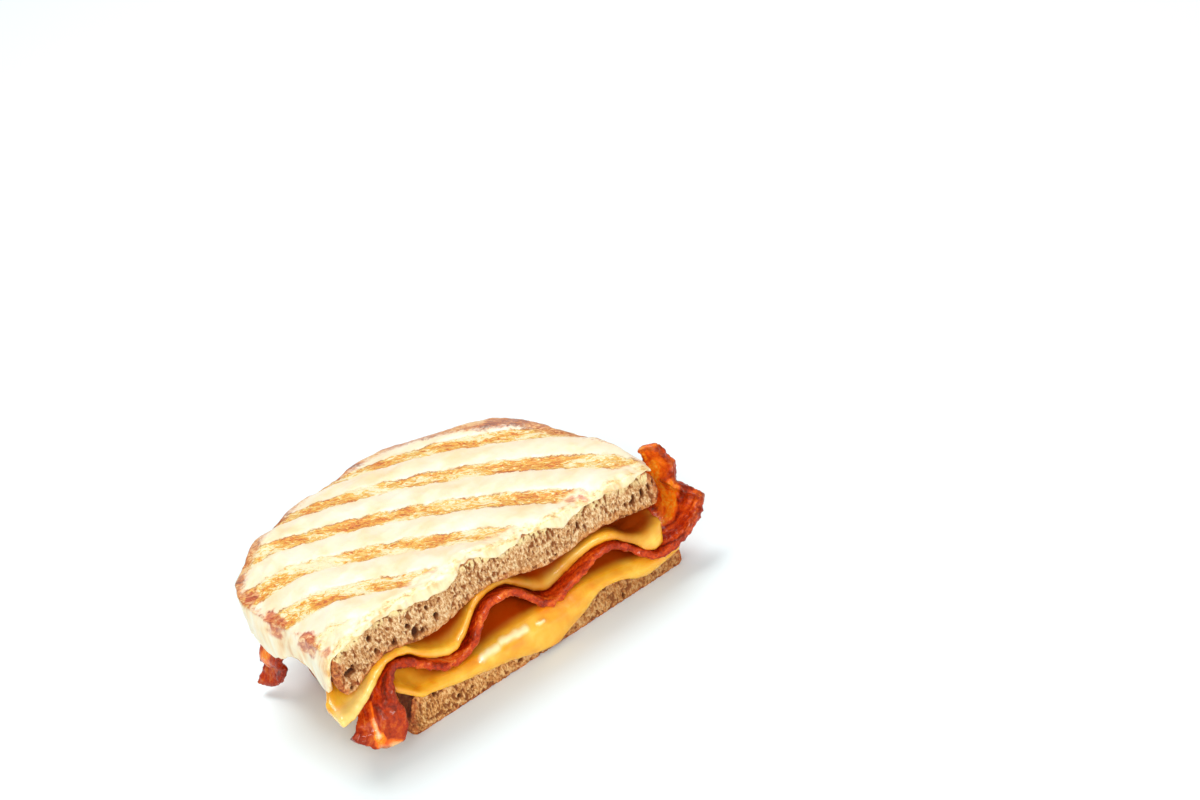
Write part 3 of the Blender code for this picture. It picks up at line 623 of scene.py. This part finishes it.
# %% White cheese finish
def white_cheese_finish():
    finish = Finish("grilled_white_cheese", 0.36, 0.5)
    number, top, scorch, inside = finish.values("number", "top", "scorch", "inside")
    from_cut, along = finish.values("from_cut", "along_cut")
    wide, fine = finish.noise(5.0, 2.0), finish.noise(1.3, 4.0, 0.6)
    pale = finish.ramp(finish.noise(10.0, 3.0, 0.55, 0.3), (0.30, screen(241, 214, 166)),
                       (0.50, screen(247, 228, 196)), (0.72, screen(250, 235, 213)))

    # Grill marks, which flare at the left and start a little behind the cut.
    wander = finish.plus(finish.stray(wide, 0.12), finish.stray(fine, 0.14))
    flare = finish.times(finish.slope(along, -38.0, -58.0), 0.045)
    from_middle = finish.plus(finish.math("PINGPONG", number, 0.5), wander)
    from_middle = finish.less(from_middle, flare)
    started = finish.slope(finish.plus(from_cut, finish.stray(wide, 9.0)), *MARK_START)
    mark = finish.times(finish.fall(from_middle, *MARK_COLOUR), started)
    mark = finish.times(mark, top)
    along_marks = finish.drawn_out(math.atan2(MARK_NUMBERS[1], -MARK_NUMBERS[2]), 2.6)
    lace = finish.noise(1.3, 7.0, 0.68, 1.8, along_marks)
    blotch = finish.noise(6.0, 3.0, 0.5, 0.5, along_marks)
    burnt = finish.plus(finish.times(lace, 1.5), -0.25)
    burnt = finish.plus(burnt, finish.stray(blotch, 1.15))
    burnt = finish.less(burnt, finish.times(finish.slope(along, -20.0, -50.0), 0.06))
    grilled = finish.ramp(burnt, (0.38, screen(249, 232, 188)), (0.46, screen(240, 206, 112)),
                          (0.56, screen(234, 172, 58)), (0.70, screen(222, 120, 36)),
                          (0.92, screen(156, 70, 24)))
    colour = finish.blend(mark, pale, grilled)

    # A thin dark line along some of a mark's edge.
    line = finish.math("ABSOLUTE", finish.less(from_middle, MARK_LINE))
    line = finish.times(finish.fall(line, 0.003, 0.016), finish.slope(blotch, 0.46, 0.56))
    line = finish.times(finish.times(line, top), started)
    colour = finish.blend(finish.times(line, 0.7), colour, screen(158, 96, 38))

    # The browned rim, which is wider at the back and the right.
    wider = finish.times(finish.slope(along, -25.0, 35.0), finish.slope(from_cut, 12.0, 40.0))
    wider = finish.plus(finish.times(wider, 3.6), finish.times(finish.slope(from_cut, 50.0, 72.0), 3.6))
    from_rim = finish.less(finish.plus(inside, finish.times(fine, 6.0)), wider)
    rim = finish.times(finish.fall(from_rim, 3.2, 6.2), top)
    rim = finish.times(rim, finish.slope(from_cut, 8.0, 20.0))
    toasted = finish.ramp(burnt, (0.28, screen(238, 192, 130)), (0.42, screen(220, 136, 62)),
                          (0.56, screen(188, 92, 34)), (0.74, screen(126, 48, 20)))
    colour = finish.blend(finish.times(rim, 0.9), colour, toasted)

    # Thin, ragged cheese at the lip over the cut.
    near = finish.plus(from_cut, finish.stray(fine, 3.0))
    thin = finish.times(finish.fall(near, 0.8, 3.4), finish.slope(wide, 0.36, 0.56))
    ragged = finish.ramp(fine, (0.34, screen(206, 146, 70)), (0.46, screen(240, 206, 128)),
                         (0.62, screen(252, 236, 186)))
    colour = finish.blend(finish.times(thin, 0.85), colour, ragged)

    # Scorched spots.
    char = finish.ramp(finish.noise(1.6, 5.0, 0.65, 0.8, along_marks), (0.34, screen(144, 36, 14)),
                       (0.45, screen(188, 70, 32)), (0.54, screen(216, 124, 66)),
                       (0.66, screen(244, 206, 150)))
    char = finish.blend(finish.slope(scorch, 0.2, 0.6), screen(222, 130, 56), char)
    charred = finish.slope(finish.plus(scorch, finish.stray(fine, 0.6)), 0.12, 0.75)
    colour = finish.blend(finish.times(charred, 0.9), colour, char)

    # Drips down the crust.
    drip = finish.ramp(finish.noise(4.0, 3.0, 0.5, 0.3, finish.drawn_up(0.3)),
                       (0.32, screen(232, 176, 104)), (0.46, screen(248, 224, 176)),
                       (0.66, screen(253, 242, 214)))
    side = finish.times(finish.less(1.0, top), finish.less(1.0, scorch))
    colour = finish.blend(finish.times(side, 0.85), colour, drip)

    bumps = finish.bump(finish.times(lace, finish.math("MAXIMUM", mark, rim)), 0.5)
    bumps = finish.bump(finish.noise(0.8, 3.0), 0.05, bumps)
    finish.soft(0.28, 1.4, (1.0, 0.75, 0.45))
    finish.coat(0.12, 0.25)
    return finish.done(colour, bumps, finish.plus(finish.times(mark, 0.16), 0.34))


stand_for(white, "grilled_cheese", white_cheese_finish())

# %% [markdown]
# ## Bacon
# A fried strip is red-brown meat with streaks of amber fat along it, bubbled and darker at its
# edges. The distance from a strip's edge is measured on the solid and kept, so that the streaks run
# along the strip wherever it bends. The inner lobe's meat beside the fat is painted brighter as a
# glow, the lobes' folds are painted dark as shade, and a streak of the flap's fat carries a painted
# highlight.

# %% Strips
BACON_SQUARE = 0.5
EDGE_ANGLE = math.radians(50)
# Bands of fat as two ends and a width.
FAT_BANDS = [((-50.1, 0.0, 21.0), (-52.3, 0.1, 19.1), 0.6), ((-52.3, 0.1, 19.1), (-54.5, -2.8, 15.8), 0.8),
             ((-54.5, -2.8, 15.8), (-55.7, -5.2, 11.4), 0.9), ((-55.7, -5.2, 11.4), (-55.7, -5.8, 9.0), 1.1),
             ((-57.0, -5.0, 8.6), (-51.6, -6.8, 6.6), 1.3),
             ((59.4, 10.8, 37.0), (59.0, 10.2, 32.6), 1.6), ((60.9, 8.6, 31.0), (60.4, 8.8, 27.3), 1.8),
             ((60.4, 8.8, 27.3), (60.1, 8.7, 23.2), 2.3), ((60.1, 8.7, 23.2), (59.7, 8.2, 17.4), 1.9),
             ((61.3, 2.6, 24.0), (60.4, 6.0, 17.2), 2.3), ((60.4, 6.0, 17.2), (57.8, 4.6, 14.4), 2.5),
             ((57.8, 4.6, 14.4), (55.5, 4.5, 13.5), 2.2),
             ((-60.5, 60.0, 17.0), (-60.0, 60.0, 13.5), 3.0)]
# The fat is nearly white at the tip of the flap, and a thin streak above it is pale fat with a painted
# highlight along it.
PALE_BANDS = [((-56.6, -5.2, 8.0), (-51.4, -6.6, 6.2), 1.4),
              ((-54.5, -2.8, 15.8), (-55.7, -5.2, 11.4), 0.7)]
# Meat in the inner lobe beside the fat, painted a brighter orange as a glow of light through the fat.
GLOW_BANDS = [((60.6, 9.2, 34.5), (60.2, 8.6, 25.0), 5.0), ((60.2, 8.6, 25.0), (60.0, 8.0, 17.0), 5.5)]
GLOW = 0.4
# Folds in the lobes beside the fat, sunk a little and painted dark as shade.
DARK_BANDS = [((64.4, 3.2, 20.6), (63.8, 3.0, 16.6), 1.9), ((63.8, 3.0, 16.6), (58.0, 1.4, 12.2), 1.9),
              ((63.0, 8.4, 28.6), (62.6, 8.6, 24.6), 1.3)]
# The lines along which a strip ends; its streaks run out over these.
STRIP_ENDS = [((-49.2, -6.0, 6.0), (-57.0, -4.6, 7.6)), ((-57.0, -4.6, 7.6), (-63.2, -1.6, 13.4)),
              ((63.4, 6.8, 36.2), (58.8, 11.6, 36.2)), ((-60.2, 56.5, 5.4), (-64.2, 66.5, 3.4))]
STRIP_END_REACH = 2.2
RUFFLED_FROM_X = 56.0
# The flap browns towards these x and heights, and the lobes turn crisp between these x.
BROWNED_X, BROWNED_Z = (-44.0, -50.0), (24.0, 13.0)
CRISP_X = (50.0, 57.0)


def edge_points(piece):
    """Points along a strip's sharp edges."""
    edit(piece)
    bpy.ops.mesh.select_mode(type="EDGE")
    bpy.ops.mesh.select_all(action="DESELECT")
    bpy.ops.mesh.edges_select_sharp(sharpness=EDGE_ANGLE)
    bpy.ops.object.mode_set(mode="OBJECT")
    rows = corners(piece)
    ends = np.array([edge.vertices[:] for edge in piece.data.edges if edge.select])
    shares = np.linspace(0.0, 1.0, 9)[:, None, None]
    return (rows[ends[:, 0]] * (1 - shares) + rows[ends[:, 1]] * shares).reshape(-1, 3)


def in_bands(plan, bands, outer, inner, stray):
    """0 to 1 across the bands' edges, from outer to inner as shares of each band's width."""
    most = np.zeros(len(plan))
    for start, end, width in bands:
        away = away_from(plan, start, end) + stray
        most = np.maximum(most, ease(width * outer, width * inner, away))
    return most


def shape_bacon(node, name, seed):
    coarse = merged_copy(node, name + "_plain")
    edges = edge_points(coarse)
    bpy.data.objects.remove(coarse)
    strip = fine_copy(node, name, BACON_SQUARE, 3)
    rows, ways = corners(strip), normals(strip)
    plan = rows - CUT_ORIGIN
    inset = distance_to(edges, rows)
    from_end = np.min([away_from(edges - CUT_ORIGIN, *line) for line in STRIP_ENDS], axis=0)
    across = distance_to(edges[from_end > STRIP_END_REACH], rows)
    ragged = 1.2 * lumps(rows, 3.0, seed + 1)
    fat = in_bands(plan, FAT_BANDS, 1.35, 0.4, ragged)
    # Painted glow: the inner lobe's meat takes part of the fat's brighter colour.
    fat = np.maximum(fat, GLOW * in_bands(plan, GLOW_BANDS, 1.0, 0.5, ragged))
    white_fat = in_bands(plan, PALE_BANDS, 1.0, 0.3, 0.5 * ragged)
    # Painted shade in the lobes' folds.
    dark = in_bands(plan, DARK_BANDS, 1.0, 0.3, 0.7 * ragged)
    rim = ease(3.2, 0.8, inset)
    lift = 0.36 * lumps(rows * (1.0, 0.35, 1.0), 2.6, seed + 2) + 0.16 * lumps(rows, 1.2, seed + 3)
    blisters = ease(0.5, 0.15, cells(rows, 1.9, seed + 4)[0]) * ease(-0.2, 0.5, lumps(rows, 7.0, seed + 5))
    lift += (0.10 + 0.30 * rim) * blisters + 0.35 * rim * lumps(rows, 1.7, seed + 6)
    ruffled = ease(0.0, 4.0, plan[:, 0] - RUFFLED_FROM_X) * ease(6.0, 1.5, inset) * (1 - fat)
    lift += ruffled * (0.9 * np.abs(lumps(rows, 2.6, seed + 7)) + 0.35 * lumps(rows, 1.2, seed + 8))
    lift -= 0.4 * dark
    rows += ways * lift[:, None]
    move_corners(strip, rows)
    plan = rows - CUT_ORIGIN
    browned = ease(*BROWNED_X, plan[:, 0]) * ease(*BROWNED_Z, plan[:, 2])
    keep_values(strip, inset=inset, across=across, fat=fat, white_fat=white_fat, dark=dark,
                browned=browned, crisp=ease(*CRISP_X, plan[:, 0]))
    return strip


front_strip = shape_bacon("bacon_front", "front_bacon", 60.0)
back_strip = shape_bacon("bacon_back", "back_bacon", 70.0)


# %% Bacon finish
def bacon_finish():
    finish = Finish("fried_bacon", 0.36, 0.4)
    finish.shader.inputs["Specular Tint"].default_value = screen(255, 200, 140)
    inset, across, fat, white_fat = finish.values("inset", "across", "fat", "white_fat")
    dark, browned, crisp = finish.values("dark", "browned", "crisp")

    # Streaks change fast across the strip and slowly along it.
    slow = finish.add("ShaderNodeVectorMath", {"operation": "SCALE"}, Vector=finish.place, Scale=0.3)
    apart = finish.add("ShaderNodeCombineXYZ", X=finish.times(across, 0.8 * MM))
    drawn = finish.add("ShaderNodeVectorMath", {"operation": "ADD"})
    finish.join(drawn.inputs[0], slow.outputs[0])
    finish.join(drawn.inputs[1], apart.outputs[0])
    streak = finish.noise(2.3, 4.0, 0.55, 0.35, drawn.outputs[0])
    fine = finish.noise(0.9, 4.0, 0.6)
    mottle = finish.plus(finish.times(streak, 0.72), finish.times(fine, 0.28))

    meat = finish.ramp(mottle, (0.37, screen(104, 12, 2)), (0.45, screen(160, 32, 4)),
                       (0.53, screen(204, 60, 8)), (0.60, screen(232, 98, 22)),
                       (0.68, screen(250, 164, 84)))
    # Painted shade in the lobes' folds.
    meat = finish.blend(finish.times(dark, 0.8), meat, screen(92, 10, 6))
    meat = finish.blend(finish.times(browned, 0.42), meat, screen(132, 24, 12))
    amber = finish.ramp(fine, (0.32, screen(255, 104, 2)), (0.50, screen(255, 138, 14)),
                        (0.70, screen(255, 184, 70)))
    # Meat at the edge of a fat band turns orange; in the inner lobe this is a painted glow.
    glow = finish.ramp(mottle, (0.36, screen(214, 56, 8)), (0.60, screen(252, 122, 22)))
    colour = finish.blend(finish.slope(fat, 0.0, 0.5), meat, glow)
    colour = finish.blend(finish.slope(fat, 0.45, 1.0), colour, amber)
    # Pale fat at the flap's tip, and a painted highlight along the fat streak above it.
    colour = finish.blend(finish.times(white_fat, 0.8), colour, screen(252, 214, 168))
    edge = finish.fall(finish.plus(inset, finish.times(fine, 2.0)), 1.0, 2.4)
    edge = finish.times(edge, finish.plus(finish.times(crisp, 0.4), 0.2))
    colour = finish.blend(edge, colour, screen(112, 30, 14))
    bumps = finish.bump(streak, 0.5)
    bumps = finish.bump(finish.noise(0.7, 3.0, 0.6), 0.26, bumps)
    finish.soft(finish.plus(finish.times(fat, 0.4), 0.1), 1.4, (1.0, 0.6, 0.3))
    finish.coat(0.22, 0.08)
    return finish.done(colour, bumps, finish.plus(finish.times(fine, 0.34), 0.16))


fried = bacon_finish()
stand_for(front_strip, "bacon_front", fried)
stand_for(back_strip, "bacon_back", fried)

# %% [markdown]
# ## Cheddar
# It melted thick and glossy round the bacon, so its skin is smooth with slow waves. It swells a
# little past its solid to touch the bread and the bacon. Near the bacon the fat has stained it a
# deeper orange, which is worked out from the distance to the strips. Behind the cut, inside the rim
# and in the pocket's hollow it is painted a deep orange-brown as shade, and a few folds and the
# hanging corner carry a painted highlight. The upper layer hangs in the upper slice's shade, so its
# yellows are painted a little lighter to make up for it.

# %% Cheddar layers
CHEDDAR_SQUARE = 0.6
CHEDDAR_SWELL = 0.34
LOWEST_CHEDDAR = 0.15
STAIN_REACH = 3.4
# How far behind the cut, and inside the rim, the cheddar is painted a deep orange-brown as shade.
UPPER_DEEP, LOWER_DEEP = (-0.2, 4.6), (-0.6, 3.2)
DEEP_FROM_RIM = (3.0, 7.0)
# Towards the left end of the cut the painted shade weakens by this share, between these x.
DEEP_LEFT, DEEP_LEFT_LOSS = (-26.0, -42.0), 0.85
# Folds in the curtain, raised and with a painted highlight along them, as two ends and a half width.
FOLDS = [((-9.0, -0.9, 12.9), (-0.5, -1.3, 12.2), 2.1), ((-16.3, -1.2, 12.2), (-11.1, -1.2, 12.3), 2.1),
         ((-35.0, -2.2, 18.3), (-30.0, -2.2, 18.8), 1.6), ((3.9, -1.5, 11.7), (5.7, -1.6, 11.4), 1.0)]
FOLD_HEIGHT = 0.6
# The corner that hangs out at the left gets a weak painted highlight, between these x.
CORNER_X, CORNER_SHINE = (-46.0, -55.0), 0.3
# The hollow behind the pocket's mouth, by its middle and half sizes, gets the same painted shade.
POCKET_MIDDLE, POCKET_HALF = (45.0, 2.4, 23.0), (8.0, 6.6, 7.2)


def shape_cheddar(node, name, bacon_rows, deep_reach, seed):
    layer = fine_copy(node, name, CHEDDAR_SQUARE, 9)
    rows, ways = corners(layer), normals(layer)
    plan = rows - CUT_ORIGIN
    away = distance_to(bacon_rows, rows)
    inside = distance_to(rows[(np.abs(ways[:, 2]) < 0.4) & (plan[:, 1] > 4)], rows)
    lift = CHEDDAR_SWELL + 0.30 * lumps(rows * (0.45, 1.0, 1.0), 4.6, seed)
    lift += 0.10 * lumps(rows, 2.2, seed + 1)
    shine = np.zeros(len(rows))
    ragged = 0.5 * lumps(rows, 1.8, seed + 2)
    # The folds are raised, and a painted highlight runs along them.
    for start, end, half in FOLDS:
        near = away_from(plan, start, end)
        lift += FOLD_HEIGHT * ease(half, 0.0, near)
        shine = np.maximum(shine, ease(half * 0.8, half * 0.1, near + ragged))
    corner = ease(*CORNER_X, plan[:, 0]) * ease(4.0, 0.0, plan[:, 1])
    shine = np.maximum(shine, CORNER_SHINE * corner)
    # Painted shade behind the cut and inside the rim, weaker at the left end, and in the pocket's hollow.
    near_cut = ease(18.0, 11.0, plan[:, 1]) * ease(-58.0, -50.0, plan[:, 0])
    deep = ease(*deep_reach, plan[:, 1]) * np.maximum(ease(*DEEP_FROM_RIM, inside), near_cut)
    deep *= 1.0 - DEEP_LEFT_LOSS * ease(*DEEP_LEFT, plan[:, 0]) * (ways[:, 1] < 0.3)
    hollow = np.linalg.norm((plan - POCKET_MIDDLE) / POCKET_HALF, axis=1)
    deep = np.maximum(deep, ease(1.5, 0.6, hollow))
    rows += ways * lift[:, None]
    rows[:, 2] = np.maximum(rows[:, 2], LOWEST_CHEDDAR)
    move_corners(layer, rows)
    keep_values(layer, stain=ease(STAIN_REACH, 0.6, away), deep=deep, shine=shine)
    return layer


bacon_rows = np.vstack([corners(front_strip)[::6], corners(back_strip)[::6]])
upper_cheddar = shape_cheddar("cheddar_top", "upper_cheddar", bacon_rows, UPPER_DEEP, 80.0)
lower_cheddar = shape_cheddar("cheddar_bottom", "lower_cheddar", bacon_rows, LOWER_DEEP, 90.0)


# %% Cheddar finish
def cheddar_finish(name, shade, middle, light):
    finish = Finish(name, 0.26, 0.5)
    stain, deep, shine = finish.values("stain", "deep", "shine")
    body = finish.ramp(finish.noise(7.0, 3.0, 0.5, 0.4), (0.30, shade), (0.52, middle), (0.74, light))
    body = finish.blend(finish.times(stain, 0.5), body, screen(228, 112, 14))
    # Painted highlight, pale, along the folds and at the hanging corner.
    body = finish.blend(finish.times(shine, 0.85), body, screen(255, 242, 190))
    # Painted shade: a deep orange-brown in the recesses, with less gloss and less light sinking in there.
    colour = finish.blend(finish.times(deep, 0.95), body, screen(142, 30, 0))
    bumps = finish.bump(finish.noise(2.5, 2.0), 0.12)
    surface = finish.less(1.0, deep)
    finish.join(finish.shader.inputs["Specular IOR Level"], finish.times(surface, 0.5))
    finish.soft(finish.times(finish.plus(surface, 0.2), 0.25), 1.6, (1.0, 0.5, 0.1))
    finish.coat(finish.times(surface, 0.4), 0.06)
    return finish.done(colour, bumps, finish.plus(finish.times(deep, 0.4), 0.26))


# The upper layer's yellows are painted lighter to make up for the upper slice's shade; the lower layer keeps
# the plain colours.
shaded = cheddar_finish("shaded_cheddar", shade=screen(248, 162, 22), middle=screen(254, 192, 50),
                        light=screen(255, 214, 90))
lit = cheddar_finish("lit_cheddar", shade=screen(240, 152, 18), middle=screen(248, 180, 40),
                     light=screen(253, 203, 74))
stand_for(upper_cheddar, "cheddar_top", shaded)
stand_for(lower_cheddar, "cheddar_bottom", lit)

# %% [markdown]
# ## Seeds
# Sesame seeds are baked on the crust. In the solids they are small bumps, found here as the
# corners that only have short edges. One seed is shaped like a drop, and a copy lies on each bump.

# %% One seed
SEED_LENGTH, SEED_WIDTH, SEED_HEIGHT = 3.5, 2.2, 1.5
SEED_TAPER = 0.45
SEED_SUNK = 0.25
SHORT_EDGE = 2.2

bpy.ops.mesh.primitive_uv_sphere_add(segments=12, ring_count=8, radius=0.5)
seed = bpy.context.object
seed.name = "sesame_seed"
ball = corners(seed) * MM
ball[:, 1:] *= (1.0 - SEED_TAPER * (ball[:, 0] + 0.5))[:, None]
move_corners(seed, ball * (SEED_LENGTH, SEED_WIDTH, SEED_HEIGHT))
print("one seed has", len(seed.data.polygons), "faces")


# %% Seeds on the crust
def bumps_on(node):
    """The groups of neighbouring corners that only have short edges, with their outward way."""
    plain = merged_copy(node, node + "_plain")
    rows, ways = corners(plain), normals(plain)
    longest = np.zeros(len(rows))
    joined = {index: [] for index in range(len(rows))}
    for edge in plain.data.edges:
        a, b = edge.vertices
        length = np.linalg.norm(rows[a] - rows[b])
        longest[[a, b]] = np.maximum(longest[[a, b]], length)
        joined[a].append(b)
        joined[b].append(a)
    bpy.data.objects.remove(plain)
    left = set(np.flatnonzero(longest < SHORT_EDGE))
    while left:
        group = [left.pop()]
        for index in group:
            near = [other for other in joined[index] if other in left]
            group.extend(near)
            left.difference_update(near)
        yield rows[group], ways[group]


def lay_seeds(node, name):
    laid = []
    for spots, outward in bumps_on(node):
        centre = spots.mean(axis=0)
        up = Vector(outward.mean(axis=0)).normalized()
        long_way = Vector(np.linalg.svd(spots - centre)[2][0])
        long_way = (long_way - up * long_way.dot(up)).normalized()
        turn = Matrix((long_way, up.cross(long_way), up)).transposed().to_4x4()
        copy = bpy.data.objects.new(name, seed.data.copy())
        bpy.context.scene.collection.objects.link(copy)
        copy.data.transform(Matrix.Translation(Vector(centre - np.array(up) * SEED_SUNK) * MM) @ turn)
        laid.append(copy)
    bpy.ops.object.select_all(action="DESELECT")
    for copy in laid:
        copy.select_set(True)
    bpy.context.view_layer.objects.active = laid[0]
    bpy.ops.object.join()
    laid[0].name = name
    print(name, len(laid), "seeds")
    return laid[0]


# %% Seed finish
def seed_finish():
    finish = Finish("sesame", 0.5, 0.4)
    tint = finish.ramp(finish.noise(5.0, 2.0), (0.35, screen(214, 172, 118)), (0.60, screen(244, 222, 182)))
    finish.soft(0.2, 0.8, (1.0, 0.7, 0.4))
    return finish.done(tint, finish.bump(finish.noise(0.5), 0.05))


sesame = seed_finish()
for node, name in (("bread_top", "upper_seeds"), ("bread_bottom", "lower_seeds")):
    scattered = lay_seeds(node, name)
    scattered.data.materials.clear()
    scattered.data.materials.append(sesame)
    scattered.data.shade_smooth()
    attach(scattered, "root")
bpy.data.objects.remove(seed)

# %% The end
print("size written")
